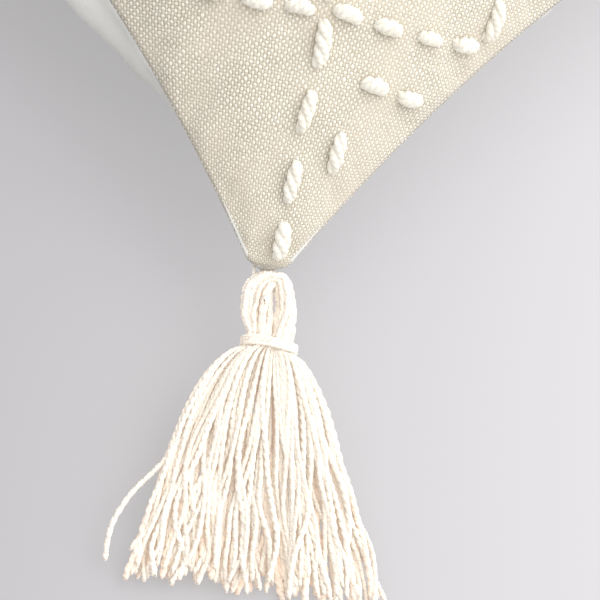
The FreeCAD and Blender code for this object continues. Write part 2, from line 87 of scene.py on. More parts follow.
CASING_EDGE = 0.4            # the same cloth at the insert's seam
FILL_INSET = 2.4
REST_DIP = 1.5
REST_SOFTNESS = 6.0
ZIP_REACH = 181.25           # half length of the opening for the zip
ZIP_SLOT = 10.0
HALF = CORNER_SPACING / 2
SAG = math.hypot(SIDE_PULL_IN, SEAM_RISE)
SIDE_RADIUS = (HALF ** 2 + SAG ** 2) / (2 * SAG)
CORNERS = {"bottom_left": 0, "bottom_right": 90, "top_right": 180, "top_left": 270}

# Yarn stitches on the front
ALONG_SPACING = 78.0
ALONG_OFFSET = 5.0
ACROSS_SPACING = 80.0
ACROSS_OFFSET = -17.0
ALONG_PER_CELL = 4
ACROSS_PER_CELL = 4
ALONG_STITCH = 14.0
ACROSS_STITCH = 12.5
STITCH_RADIUS = 2.6
STITCH_MARGIN = 12.0
ZIP_MARGIN = 26.0
CORNER_MARGIN = 23.0
LINES = int(FLAT_CLOTH / math.sqrt(2) / ALONG_SPACING) + 1
DIAMOND_INSET = 19.0

# Tassels, each made along +X from its corner bar
BAR_STANDOFF = 2.6
LINK_LENGTH = 9.2
LINK_HALF_HEIGHT = 6.2
LINK_TURN = 1.3              # radius at the link's corners
LINK_TURNS = 3
LINK_THREAD = 0.3            # radius
EYE_X = LINK_LENGTH + LINK_TURN
LOOP_LEG_LENGTH = 10.8
JOINT_GAP = 0.1
NECK_X = EYE_X + LOOP_LEG_LENGTH + JOINT_GAP
LOOP_STRANDS = 34
LOOP_CENTRE = 10.5           # middle of the loop's hole, from the corner bar
LOOP_HOLE = 1.0              # half width of the hole
LOOP_LEFT = 12.0             # thickness of the bundle on the left of the hole
LOOP_RIGHT = 6.2
LOOP_TOP = 7.8               # from the hole's middle to the first strand over it
LOOP_TOP_DEPTH = 6.2         # thickness of the bundle there
LOOP_HALF_HEIGHT = 2.7
LOOP_SHIFT = 1.6             # of the loop's top to the right
WRAP_LENGTH = 4.2
WRAP_TURNS = 2.6
WRAP_YARN = 0.9              # radius
NECK_WIDTH = 16.8
NECK_HEIGHT = 7.6
SKIRT_LENGTH = 84.0
SKIRT_END_WIDTH = 84.0
SKIRT_END_HALF = 4.5         # half thickness of the skirt's end
FLOOR_GAP = 0.3
STRAND_RADIUS = 1.02
STRANDS = 150
CLUMPS = 14                  # groups that the strands gather into
STRAYS = 8
STRAND_PITCH = 7.0           # one turn of the two plies
PLY_PITCH = 3.4              # of the finer twist in the yarn's relief
TASSEL_SWAY = [              # distance from the corner bar, shift to the side
    (-4.0, 1.2), (8.0, 3.2), (20.0, 4.6), (32.0, 3.0), (55.0, 3.2), (110.0, 6.0)]
SWAY_SHARE = {"bottom_left": -0.6, "bottom_right": 0.7, "top_right": -1.0, "top_left": 1.0}

# Cloth simulation
SIM_CELLS = 64
SIM_FRAMES = 20
SIM_PRESSURE = 4.0
SIM_TRAVEL = 7.0             # furthest that a point of the cloth may move
SWELL_PASSES = 60            # smoothing that leaves only the simulated cloth's swell
SWELL_REMOVED = 0.75         # share of that swell which the CAD's shape already has

# Camera, from the pillow's corner
VIEW_AZIMUTH = math.radians(22.8)
VIEW_ELEVATION = math.radians(55.0)
VIEW_ROLL = 0.50
VIEW_DISTANCE = 900.0
VIEW_WIDTH = 201.0           # seen across, at the corner's distance
VIEW_OFFSET = (12.5, -1.0)   # middle of the view from the corner, to the right and up
SENSOR = 36.0

# Weave of the front
WARP_PITCH = 1.42
WEFT_PITCH = 1.05
WEAVE_DRIFT = 1.3            # how far the threads wander, from side to side


# ---- the cover's surface

def unit(vectors):
    return vectors / np.maximum(np.linalg.norm(vectors, axis=-1, keepdims=True), 1e-9)


def strand_travel(paths):
    """Distance along each path at each of its points."""
    steps = np.linalg.norm(np.diff(paths, axis=1), axis=-1)
    return np.concatenate([np.zeros((len(paths), 1)), np.cumsum(steps, 1)], 1)


def sag_share(v):
    along = HALF * np.minimum(1.0, np.abs(v))
    return (np.sqrt(SIDE_RADIUS ** 2 - along ** 2) - (SIDE_RADIUS - SAG)) / SAG


def crown_share(a):
    edge = math.cos(CROWN_ANGLE)
    return (np.cos(CROWN_ANGLE * a) - edge) / (1 - edge)


def formula(a, b, crown, inset=0.0, floor=None, gap=0.0):
    """Points of a panel at shares a and b of the cloth, in millimetres."""
    u = np.sin(CROWN_ANGLE * a) / math.sin(CROWN_ANGLE)
    v = np.sin(CROWN_ANGLE * b) / math.sin(CROWN_ANGLE)
    half = HALF - inset
    sag_u, sag_v = sag_share(u * half / HALF), sag_share(v * half / HALF)
    seam = CORNER_HEIGHT + SEAM_RISE * (1 - (1 - sag_u) * (1 - sag_v))
    share = crown_share(a) * crown_share(b)
    z = seam + gap + crown * share
    if floor is not None:
        above = z - floor
        eased = floor + (above + np.hypot(above, REST_SOFTNESS)) / 2
        z = z + (eased - z) * (1 - (1 - share) ** 4)
    x = u * (half - SIDE_PULL_IN * sag_v)
    y = v * (half - SIDE_PULL_IN * sag_u)
    return np.stack([x, y, z], -1)


def middle_section():
    """Shares along the middle of the front, and the flat cloth's distance at each."""
    shares = np.linspace(0, 1, 401)
    lengths = strand_travel(formula(shares, 0 * shares, FRONT_CROWN)[None])[0]
    return shares, lengths / lengths[-1] * EDGE


SECTION_SHARES, SECTION_LENGTHS = middle_section()


def cloth_share(distance):
    """Share of the panel at a distance from its middle, measured on the flat cloth."""
    return np.sign(distance) * np.interp(np.abs(distance), SECTION_LENGTHS, SECTION_SHARES)


def smooth_step(x, low, high):
    t = np.clip((x - low) / (high - low), 0, 1)
    return t * t * (3 - 2 * t)


def panel_grid(cells):
    line = np.linspace(-EDGE, EDGE, cells + 1)
    return np.meshgrid(line, line, indexing="ij")


def simulate_cover():
    """How far each point of the front and back panel moves when the flat cloth is
    sewn to this outline and filled: an array for each panel, in millimetres."""
    n = SIM_CELLS
    p, q = panel_grid(n)
    a, b = cloth_share(p), cloth_share(q)
    front = formula(a, b, FRONT_CROWN)
    back = formula(a, b, -BACK_CROWN, 0.0, -REST_DIP)
    ids = {"front": np.arange((n + 1) ** 2).reshape(n + 1, n + 1)}
    inner = np.zeros((n + 1, n + 1), bool)
    inner[1:-1, 1:-1] = True
    ids["back"] = ids["front"].copy()
    ids["back"][inner] = (n + 1) ** 2 + np.arange(inner.sum())
    start = np.concatenate([front.reshape(-1, 3), back[inner]])
    flat_front = np.stack([p, q, 0 * p], -1)
    rest = np.concatenate([flat_front.reshape(-1, 3), flat_front[inner] - (0, 0, 1)])
    faces = []
    for side, grid in ids.items():
        quads = grid_faces(grid)
        faces += (quads if side == "front" else quads[:, ::-1]).tolist()
    mesh = bpy.data.meshes.new("cloth_work")
    mesh.from_pydata((start * MM).tolist(), [], faces)
    work = new_object("cloth_work", mesh)
    work.shape_key_add(name="Basis")
    key = work.shape_key_add(name="flat")
    key.data.foreach_set("co", (rest * MM).astype(np.float32).ravel())
    seam = work.vertex_groups.new(name="seam")
    seam.add([int(i) for i in ids["front"][~inner]], 1.0, "REPLACE")
    cloth = work.modifiers.new("cloth", "CLOTH")
    settings = {
        "quality": 6, "mass": 0.5 * (2 * (FLAT_CLOTH * MM) ** 2) / len(start),
        "tension_stiffness": 40, "compression_stiffness": 40, "shear_stiffness": 12,
        "bending_stiffness": 0.6, "air_damping": 1, "use_pressure": True,
        "uniform_pressure_force": SIM_PRESSURE, "vertex_group_mass": "seam",
        "rest_shape_key": key}
    for name, value in settings.items():
        setattr(cloth.settings, name, value)
    cloth.settings.effector_weights.gravity = 0
    cloth.collision_settings.use_collision = False
    cloth.point_cache.frame_start = 1
    cloth.point_cache.frame_end = SIM_FRAMES
    for frame in range(1, SIM_FRAMES + 1):
        bpy.context.scene.frame_set(frame)
    done = work.evaluated_get(bpy.context.evaluated_depsgraph_get())
    end = np.empty(len(start) * 3, np.float32)
    done.data.vertices.foreach_get("co", end)
    moved = end.reshape(-1, 3) / MM - start
    bpy.data.objects.remove(work)
    bpy.data.meshes.remove(mesh)
    bpy.context.scene.frame_set(1)
    return {side: moved[grid] for side, grid in ids.items()}


def soften(field, passes):
    for _ in range(passes):
        padded = np.pad(field, ((1, 1), (1, 1), (0, 0)), mode="edge")
        field = (padded[:-2, 1:-1] + padded[2:, 1:-1] + padded[1:-1, :-2]
                 + padded[1:-1, 2:] + 4 * field) / 8
    return field


def settle(moved, side):
    """Wrinkles of one panel: the movement without its average swell, capped, and faded
    out at the seams and where the cloth rests on the floor."""
    wrinkles = soften(moved, 1) - SWELL_REMOVED * soften(moved, SWELL_PASSES)
    size = np.linalg.norm(wrinkles, axis=-1, keepdims=True)
    wrinkles *= np.minimum(1, SIM_TRAVEL / np.maximum(size, 1e-6))
    p, q = panel_grid(SIM_CELLS)
    edge, _ = along_edge(p, q)
    fade = smooth_step(edge, 0, 12) * smooth_step(EDGE - q, 8, 34)
    if side == "back":
        rest = formula(cloth_share(p), cloth_share(q), -BACK_CROWN, 0.0, -REST_DIP)
        fade = fade * smooth_step(rest[..., 2], 2, 22)
    return wrinkles * fade[..., None]


def sample(field, p, q):
    """Smooth values of a grid over the cloth at places p, q."""
    n = field.shape[0] - 1

    def weights(distance):
        place = np.clip((distance / FLAT_CLOTH + 0.5) * n, 0, n)
        cell = np.minimum(place.astype(int), n - 1)
        t = place - cell
        cubic = [(-t + 2 * t ** 2 - t ** 3) / 2, (2 - 5 * t ** 2 + 3 * t ** 3) / 2,
                 (t + 4 * t ** 2 - 3 * t ** 3) / 2, (t ** 3 - t ** 2) / 2]
        return [np.clip(cell + k - 1, 0, n) for k in range(4)], cubic

    rows, row_weights = weights(p)
    columns, column_weights = weights(q)
    total = 0
    for i, wi in zip(rows, row_weights):
        for j, wj in zip(columns, column_weights):
            total = total + field[i, j] * (wi * wj)[..., None]
    return total


def waves(p, q, seed, count, shortest, longest):
    """Smooth random field of about -1 to 1 over the cloth."""
    rng = np.random.default_rng(seed)
    total = 0
    for _ in range(count):
        angle = rng.uniform(0, 2 * math.pi)
        wavelength = rng.uniform(shortest, longest)
        phase = rng.uniform(0, 2 * math.pi)
        across = p * math.cos(angle) + q * math.sin(angle)
        total = total + np.sin(2 * math.pi * across / wavelength + phase)
    return total / math.sqrt(count)


def along_edge(p, q):
    """Distance to the nearest seam, and the place along it."""
    edge = EDGE - np.maximum(np.abs(p), np.abs(q))
    along = np.where(np.abs(p) > np.abs(q), q, p + 1000)
    return edge, along


def puckers(p, q, seed):
    """Height of the small gathers that the sewing pulls in along the seams."""
    edge, along = along_edge(p, q)
    rng = np.random.default_rng(seed)
    gathers = 0
    for wavelength in (9.0, 13.0, 21.0, 34.0):
        phase = rng.uniform(0, 2 * math.pi)
        drift = 1.5 * np.sin(along / (5.3 * wavelength) + phase)
        gathers = gathers + wavelength / 34 * np.sin(2 * math.pi * along / wavelength + drift)
    fade = smooth_step(edge, 1, 7) * np.exp(-edge / 16)
    return 0.9 * gathers * fade * smooth_step(EDGE - q, 10, 30)


def swell(p, q):
    """Outward swell of the back panel between the seam and the floor, none at corners."""
    shift = np.zeros(p.shape + (3,))
    for axis, (to_seam, along) in enumerate(((p, q), (q, p))):
        distance = EDGE - np.abs(to_seam)
        rise = np.clip(distance / BULGE_HEIGHT, 0, 1)
        profile = np.sin(math.pi * rise ** 0.8) ** 2
        corner = smooth_step(EDGE - np.abs(along), *BULGE_CORNERS)
        for sign in (-1, 1):
            size = BACK_BULGE[axis, sign] * sign
            shift[..., axis] += np.where(to_seam * sign > 0, size * profile * corner, 0)
    return shift


def zip_edge(p, q, crown):
    """Place q moved back so that the panel ends at the edge of the zip's opening."""
    start = EDGE - 40
    a = cloth_share(p)
    edge = math.cos(CROWN_ANGLE)
    needed = ZIP_SLOT / 2 / (abs(crown) * np.maximum(crown_share(a), 0.05))
    b = np.arccos(edge + np.minimum(needed, 0.9) * (1 - edge)) / CROWN_ANGLE
    lip = np.interp(b, SECTION_SHARES, SECTION_LENGTHS)
    x = formula(a, 1 + 0 * a, crown)[..., 0]
    open_share = 1 - smooth_step(np.abs(x), ZIP_REACH - 1.5, ZIP_REACH + 1.5)
    limit = EDGE + (lip - EDGE) * open_share
    squeezed = start + (q - start) * (limit - start) / (EDGE - start)
    return np.where(q > start, squeezed, q)


def blunt(points, cut):
    """Points beyond the blunt corners, brought back to them."""
    for turn in CORNERS.values():
        angle = math.radians(turn + 45)
        out = np.array([math.cos(angle), math.sin(angle), 0.0])
        side = np.array([-math.sin(angle), math.cos(angle), 0.0])
        aside = np.minimum(np.abs(points @ side), TIP_CUT)
        reach = HALF * math.sqrt(2) - TIP_CUT - cut - aside ** 2 / (2 * NOSE_RADIUS)
        beyond = np.maximum(0, points @ out - reach)
        points = points - beyond[..., None] * out
    return points


class Panel:
    """One side of the cover as a function of the place on the flat cloth."""

    def __init__(self, side, wrinkles):
        self.front = side == "front"
        self.crown = FRONT_CROWN if self.front else -BACK_CROWN
        self.floor = None if self.front else -REST_DIP
        self.gap = PANEL_GAP / 2 if self.front else -PANEL_GAP / 2
        self.wrinkles = wrinkles
        self.seed = 11 if self.front else 12

    def smooth(self, p, q):
        a, b = cloth_share(p), cloth_share(q)
        points = formula(a, b, self.crown, 0.0, self.floor, self.gap)
        if not self.front:
            points = points + swell(p, q)
        return points + sample(self.wrinkles, p, q)

    def at(self, p, q):
        """Points and outward normals."""
        step = 1.0
        p0, p1 = np.maximum(p - step, -EDGE), np.minimum(p + step, EDGE)
        q0, q1 = np.maximum(q - step, -EDGE), np.minimum(q + step, EDGE)
        tangent_p = self.smooth(p1, q) - self.smooth(p0, q)
        tangent_q = self.smooth(p, q1) - self.smooth(p, q0)
        normal = unit(np.cross(tangent_p, tangent_q))
        if not self.front:
            normal = -normal
        points = self.smooth(p, q)
        lumps = puckers(p, q, self.seed) + 0.25 * waves(p, q, self.seed + 5, 12, 16, 50)
        edge_distance, _ = along_edge(p, q)
        lumps = lumps * smooth_step(edge_distance, 0, 6)
        if not self.front:
            lumps = lumps * smooth_step(points[..., 2], 1, 12)
        points = points + normal * lumps[..., None]
        return points, normal


# ---- meshes

def new_object(name, data):
    thing = bpy.data.objects.new(name, data)
    bpy.context.scene.collection.objects.link(thing)
    return thing


def new_piece(name, points, faces):
    """Smooth-shaded mesh; points are in millimetres, faces are lists of point numbers."""
    mesh = bpy.data.meshes.new(name)
    mesh.from_pydata((points * MM).tolist(), [], faces)
    mesh.polygons.foreach_set("use_smooth", [True] * len(mesh.polygons))
    return new_object(name, mesh)


def set_attribute(piece, name, kind, values):
    attribute = piece.data.attributes.new(name, kind, "POINT")
    key = "vector" if kind == "FLOAT_VECTOR" else "value"
    attribute.data.foreach_set(key, np.asarray(values, np.float32).ravel())


def grid_faces(grid):
    quads = np.stack([grid[:-1, :-1], grid[1:, :-1], grid[1:, 1:], grid[:-1, 1:]], -1)
    return quads.reshape(-1, 4)


def sheet_mesh(name, outer, inner, flip, cloth):
    """Closed sheet between two grids of points; cloth is the flat place of each point."""
    n = outer.shape[0]
    ids = np.arange(n * n).reshape(n, n)
    top, under = grid_faces(ids), grid_faces(ids + n * n)[:, ::-1]
    loop = np.concatenate([ids[:-1, 0], ids[-1, :-1], ids[:0:-1, -1], ids[0, :0:-1]])
    following = np.roll(loop, -1)
    rim = np.stack([loop, loop + n * n, following + n * n, following], -1)
    faces = np.concatenate([top, under, rim])
    if flip:
        faces = faces[:, ::-1]
    points = np.concatenate([outer.reshape(-1, 3), inner.reshape(-1, 3)])
    piece = new_piece(name, points, faces.tolist())
    flat = np.concatenate([cloth.reshape(-1, 3)] * 2) * MM
    set_attribute(piece, "cloth", "FLOAT_VECTOR", flat)
    return piece


def cover_panel(name, panel, cells):
    p, q = panel_grid(cells)
    q = zip_edge(p, q, panel.crown)
    outer, normal = panel.at(p, q)
    inner = blunt(outer - normal * COVER_CLOTH, COVER_CLOTH)
    outer = blunt(outer, 0.0)
    if not panel.front:
        outer[..., 2] = np.maximum(outer[..., 2], FLOOR_CLEARANCE)
        inner[..., 2] = np.maximum(inner[..., 2], FLOOR_CLEARANCE + COVER_CLOTH / 2)
    along, across = (p - q) / math.sqrt(2), (p + q) / math.sqrt(2)
    return sheet_mesh(name, outer, inner, not panel.front, np.stack([along, across, 0 * p], -1))


TWO_PLY = np.array([1.0, 0.92, 0.74, 0.92, 1.0, 0.92, 0.74, 0.92])


def tube_mesh(name, paths, radii, twist=np.zeros((1, 1)), lobes=1.0, sides=8,
              reference=(0, 0, 1)):
    """Closed tubes along the paths, an array of strand, ring and coordinate. The attribute
    strand tells them apart; ply carries the place round and along each tube."""
    strands, rings = paths.shape[:2]
    tangent = unit(np.gradient(paths, axis=1))
    side = unit(np.cross(tangent, reference))
    up = np.cross(side, tangent)
    angle = np.arange(sides) * 2 * math.pi / sides
    phi = twist[..., None] + angle
    reach = radii[..., None] * lobes
    ring = (np.cos(phi) * reach)[..., None] * side[:, :, None]
    ring = ring + (np.sin(phi) * reach)[..., None] * up[:, :, None]
    points = paths[:, :, None] + ring
    ids = np.arange(strands * rings * sides).reshape(strands, rings, sides)
    near, far = ids[:, :-1], ids[:, 1:]
    quads = np.stack([near, np.roll(near, -1, 2), np.roll(far, -1, 2), far], -1)
    caps = np.concatenate([ids[:, 0, ::-1], ids[:, -1]])
    faces = quads.reshape(-1, 4).tolist() + caps.tolist()
    piece = new_piece(name, points.reshape(-1, 3), faces)
    rng = np.random.default_rng(strands)
    shade = np.repeat(rng.uniform(0, 1, strands), rings * sides)
    set_attribute(piece, "strand", "FLOAT", shade)
    travel = strand_travel(paths)[..., None]
    ply = np.stack(np.broadcast_arrays(np.cos(2 * phi), np.sin(2 * phi), travel), -1)
    set_attribute(piece, "ply", "FLOAT_VECTOR", ply)
    return piece


# ---- yarn on the front

def on_cloth(along, across):
    p, q = (along + across) / math.sqrt(2), (across - along) / math.sqrt(2)
    limit = EDGE - STITCH_MARGIN
    clear = abs(p) < limit and -limit < q < EDGE - ZIP_MARGIN
    return clear and max(abs(along), abs(across)) < FLAT_CLOTH / math.sqrt(2) - CORNER_MARGIN


def line_places(runs_along):
    """Middle and length of each stitch on the lines of one direction."""
    if runs_along:
        length, pitch = ALONG_STITCH, ACROSS_SPACING / ALONG_PER_CELL
    else:
        length, pitch = ACROSS_STITCH, ALONG_SPACING / ACROSS_PER_CELL
    count = int(FLAT_CLOTH / pitch)
    places = []
    for line in range(-LINES, LINES + 1):
        for i in range(-count, count):
            travel = (i + 0.5) * pitch
            if runs_along:
                along, across = ACROSS_OFFSET + travel, ALONG_OFFSET + line * ALONG_SPACING
            else:
                along, across = ACROSS_OFFSET + line * ACROSS_SPACING, ALONG_OFFSET + travel
            if on_cloth(along, across):
                places.append((along, across, length, runs_along))
    return places


def diamond_places():
    """Stitches of the small squares inside every other cell of the lattice."""
    reach_along = ACROSS_SPACING / 2 - DIAMOND_INSET
    reach_across = ALONG_SPACING / 2 - DIAMOND_INSET
    shift = ALONG_SPACING / ACROSS_PER_CELL / 2
    places = []
    for i in range(-LINES - 1, LINES + 1):
        for j in range(-LINES - 1, LINES + 1):
            if (i + j) % 2 == 0:
                continue
            along = ACROSS_OFFSET + (i + 0.5) * ACROSS_SPACING
            across = ALONG_OFFSET + (j + 0.5) * ALONG_SPACING
            found = []
            for side in (-1, 1):
                found.append((along, across + side * reach_across, ALONG_STITCH, True))
                for half in (-1, 1):
                    place = (along + side * reach_along, across + half * shift)
                    found.append((*place, ACROSS_STITCH, False))
            places += [place for place in found if on_cloth(place[0], place[1])]
    return places


def yarn_stitches(name, panel, places, seed):
    """Soft three-ply yarn that comes out of the cloth, swells and goes back in."""
    rng = np.random.default_rng(seed)
    rings, plies = 15, 3
    t = np.linspace(-1, 1, rings)
    paths, radii, ups = [], [], []
    for along, across, length, runs_along in places:
        half = length / 2 * rng.uniform(0.94, 1.1)
        skew = rng.normal(0, 0.07)
        direction = np.array([math.cos(skew), math.sin(skew)])
        if not runs_along:
            direction = direction[::-1]
        centre = np.array([along, across]) + rng.normal(0, 0.5, 2)
        bow = rng.normal(0, 0.5) * (1 - t ** 2)
        line = centre + np.outer(t * half, direction) + np.outer(bow, direction[::-1])
        p = (line[:, 0] + line[:, 1]) / math.sqrt(2)
        q = (line[:, 1] - line[:, 0]) / math.sqrt(2)
        base, normal = panel.at(p, q)
        girth = STITCH_RADIUS * rng.uniform(0.94, 1.12)
        fullness = np.sqrt(np.clip(1 - np.abs(t) ** 3.2, 0, 1)) * 0.86 + 0.14
        lift = girth * (0.95 * (1 - np.abs(t) ** 3.5) - 0.35)
        middle = base + normal * lift[:, None]
        sideways = np.cross(unit(np.gradient(middle, axis=0)), normal)
        start = rng.uniform(0, 2 * math.pi)
        turns = rng.uniform(1.0, 1.4)
        for ply in range(plies):
            phi = start + 2 * math.pi * (ply / plies + turns * t / 2)
            offset = 0.52 * girth * fullness
            path = middle + (np.cos(phi) * offset)[:, None] * sideways
            path = path + (np.sin(phi) * offset)[:, None] * normal
            paths.append(path)
            radii.append(0.55 * girth * fullness * rng.uniform(0.95, 1.08))
            ups.append(normal)
    return tube_mesh(name, np.array(paths), np.array(radii), reference=np.array(ups))


# ---- tassels

def tassel_matrix(corner):
    """From the tassel's own frame to the row frame, in millimetres."""
    skirt_end = NECK_X + SKIRT_LENGTH
    reach = math.hypot(skirt_end, SKIRT_END_HALF)
    slope = math.asin((CORNER_HEIGHT - FLOOR_GAP) / reach) - math.atan2(SKIRT_END_HALF, skirt_end)
    turn = math.radians(CORNERS[corner] + 45)
    bar = Vector((HALF * math.sqrt(2) - TIP_CUT + BAR_STANDOFF, 0, CORNER_HEIGHT))
    lean = Matrix.Translation(bar) @ Matrix.Rotation(slope, 4, "Y")
    return Matrix.Rotation(turn, 4, "Z") @ lean


def to_frame(points, corner):
    matrix = np.array(tassel_matrix(corner))
    return points @ matrix[:3, :3].T + matrix[:3, 3]


def above_floor(points, radius):
    """Points kept clear of the floor, eased rather than cut."""
    lowest = radius + FLOOR_GAP / 2
    above = points[..., 2] - lowest
    points[..., 2] = lowest + (above + np.hypot(above, 0.5)) / 2
    return points


def strand_twist(paths, pitch, rng):
    """Turn of the two plies along each strand."""
    start = rng.uniform(0, 2 * math.pi, (len(paths), 1))
    length = strand_travel(paths)
    return start + 2 * math.pi * length / (pitch * rng.uniform(0.85, 1.15, (len(paths), 1)))


def sway(x, corner):
    """Sideways shift of a tassel that doesn't hang quite straight."""
    places, shifts = zip(*TASSEL_SWAY)
    near = [np.interp(x + step, places, shifts) for step in (-6, -3, 0, 3, 6)]
    return SWAY_SHARE[corner] * sum(near) / len(near)


def skirt_flare(t):
    return np.clip((t - WRAP_LENGTH) / (SKIRT_LENGTH - WRAP_LENGTH), 0, 1.1)


def skirt_width(t):
    """Width of the skirt at a distance from the neck."""
    return NECK_WIDTH - 1 + (SKIRT_END_WIDTH - NECK_WIDTH) * skirt_flare(t) ** 0.55


def skirt_height(t):
    flare = np.minimum(1, skirt_flare(t))
    bulge = np.sin(math.pi * np.minimum(1, flare * 1.4 + 0.02) ** 0.6)
    return NECK_HEIGHT - 2.0 + 3.5 * bulge - 0.5 * flare


def tassel_skirt(corner, seed):
    """Bundle of two-ply strands that fans out from the neck and lies on the floor."""
    rng = np.random.default_rng(seed)
    rings = 82
    length = np.clip(rng.normal(SKIRT_LENGTH, 2.6, STRANDS), SKIRT_LENGTH - 8, SKIRT_LENGTH + 5)
    share = np.linspace(0, 1, rings)
    t = share * length[:, None]
    spread = (np.arange(STRANDS) + rng.uniform(0, 1, STRANDS)) / STRANDS * 2 - 1
    level = rng.uniform(-1, 1, STRANDS)
    centres = np.linspace(-1, 1, CLUMPS) + rng.uniform(-0.06, 0.06, CLUMPS)
    nearest = centres[np.argmin(np.abs(spread[:, None] - centres), axis=1)]
    target = spread + (nearest - spread) * rng.uniform(0.1, 0.6, STRANDS)
    target = target + rng.normal(0, 0.035, STRANDS)
    neck_place = np.clip(spread + rng.normal(0, 0.1, STRANDS), -1, 1)
    blend = smooth_step(t, 0, SKIRT_LENGTH * 0.85)
    place = neck_place[:, None] * (1 - blend) + target[:, None] * blend
    y = place * skirt_width(t) / 2
    roundness = np.sqrt(np.clip(1.08 - place ** 2, 0.06, 1))
    z = level[:, None] * skirt_height(t) / 2 * roundness
    grow = smooth_step(t, 6, 70)
    for longest, size in ((85.0, 2.2), (42.0, 0.75), (19.0, 0.22)):
        for axis in (0, 1):
            phase = rng.uniform(0, 2 * math.pi, (STRANDS, 1))
            wave = longest * rng.uniform(0.8, 1.25, (STRANDS, 1))
            amount = size * rng.normal(0, 1, (STRANDS, 1)) * grow
            shift = amount * np.sin(2 * math.pi * t / wave + phase)
            if axis == 0:
                y = y + shift
            else:
                z = z + 0.6 * shift
    stray = rng.choice(STRANDS, STRAYS, replace=False)
    y[stray] += rng.normal(0, 6.0, (STRAYS, 1)) * smooth_step(t[stray], 30, 88)
    tip = smooth_step(share, 0.88, 1.0)[None]
    y = y + rng.normal(0, 1.3, (STRANDS, 1)) * tip
    z = z + rng.normal(0.2, 0.9, (STRANDS, 1)) * tip
    x = NECK_X + t
    paths = to_frame(np.stack([x, y + sway(x, corner), z], -1), corner)
    radius = STRAND_RADIUS * rng.uniform(0.88, 1.1, (STRANDS, 1))
    radius = radius * (1 + 0.7 * np.clip(-level, 0, 1))[:, None]
    radii = radius * (0.62 + 0.38 * smooth_step(t, 2, 20))
    radii = radii * (1 - 0.35 * smooth_step(share, 0.975, 1.0))
    paths = above_floor(paths, radii)
    twist = strand_twist(paths, STRAND_PITCH, rng)
    piece = tube_mesh(f"tassel_{corner}_strands", paths, radii, twist, TWO_PLY)
    # depth sets the painted warm shade that the yarn material gives to the lower strands.
    depth = np.repeat((1 - level) / 2, rings * len(TWO_PLY))
    set_attribute(piece, "depth", "FLOAT", depth)
    return piece


def loop_strands(corner, seed):
    """Looped yarn above the neck: up one leg, round the link and down the other.
    Layer is 0 for a strand at the hole and 1 for one at the outside of the loop."""
    rng = np.random.default_rng(seed)
    rings = 76
    leg = NECK_X + 2 - LOOP_CENTRE
    bend = 2.4                   # the top takes the first 1 / 2.4 of the travel each way
    travel = np.linspace(-1, 1, rings)
    away = np.abs(travel)
    angle = np.clip(away * bend, 0, 1) * math.pi / 2
    straight = np.clip((away * bend - 1) / (bend - 1), 0, 1)
    side = np.sign(travel)
    mean = 9.0
    bundle = np.where(travel < 0, LOOP_LEFT, LOOP_RIGHT)
    bundle = mean + (bundle - mean) * smooth_step(away, 0.02, 0.3)
    paths, radii, depths = [], [], []
    for i in range(LOOP_STRANDS):
        spin = rng.uniform(0, 2 * math.pi)
        out = math.sqrt((i + 0.5) / LOOP_STRANDS)
        phi = spin + 1.1 * travel
        layer = 0.5 + 0.5 * out * np.cos(phi)
        height = out * np.sin(phi)
        down = smooth_step(away, 0.35 + 0.2 * layer, 0.8 + 0.2 * layer)
        wide = (LOOP_HOLE + bundle * layer) * np.sin(angle) ** 0.62
        neck = 0.8 + (NECK_WIDTH / 2 - 1.6) * layer
        reach = LOOP_TOP + LOOP_TOP_DEPTH * layer
        x = LOOP_CENTRE - reach * np.cos(angle) + leg * straight
        y = side * (wide * (1 - down) + neck * down) + LOOP_SHIFT * (1 - down)
        z = height * LOOP_HALF_HEIGHT
        for shortest, size in ((0.9, 0.35), (0.35, 0.12)):
            y = y + size * np.sin(2 * math.pi * travel / shortest + rng.uniform(0, 6))
            z = z + size * np.sin(2 * math.pi * travel / shortest + rng.uniform(0, 6))
        paths.append(np.stack([x, y + sway(x, corner), z], -1))
        radii.append(np.full(rings, STRAND_RADIUS * rng.uniform(0.9, 1.05)))
        depths.append((1 - height) / 2)
    paths = to_frame(np.array(paths), corner)
    twist = strand_twist(paths, STRAND_PITCH, rng)
    piece = tube_mesh(f"tassel_{corner}_loop_yarn", paths, np.array(radii), twist, TWO_PLY)
    # depth sets the painted warm shade that the yarn material gives to the strands further down.
    set_attribute(piece, "depth", "FLOAT", np.repeat(np.array(depths).ravel(), len(TWO_PLY)))
    return piece


def neck_wrap(corner, seed):
    """Binding of the same yarn wound round the neck."""
    rng = np.random.default_rng(seed)
    rings = 130
    share = np.linspace(0, 1, rings)
    phi = 2 * math.pi * WRAP_TURNS * share
    wide, high = NECK_WIDTH / 2 + 0.75, NECK_HEIGHT / 2 + 0.75
    x = NECK_X + 0.8 + (WRAP_LENGTH - 1.6) * share + 0.5 * np.sin(phi + 1)
    y = wide * np.cos(phi) + 0.15 * np.sin(5 * phi) + sway(NECK_X + WRAP_LENGTH / 2, corner)
    z = high * np.sin(phi)
    paths = to_frame(np.stack([x, y, z], -1)[None], corner)
    radii = np.full((1, rings), WRAP_YARN)
    twist = strand_twist(paths, 5.0, rng)
    return tube_mesh(f"tassel_{corner}_binding", paths, radii, twist, TWO_PLY)


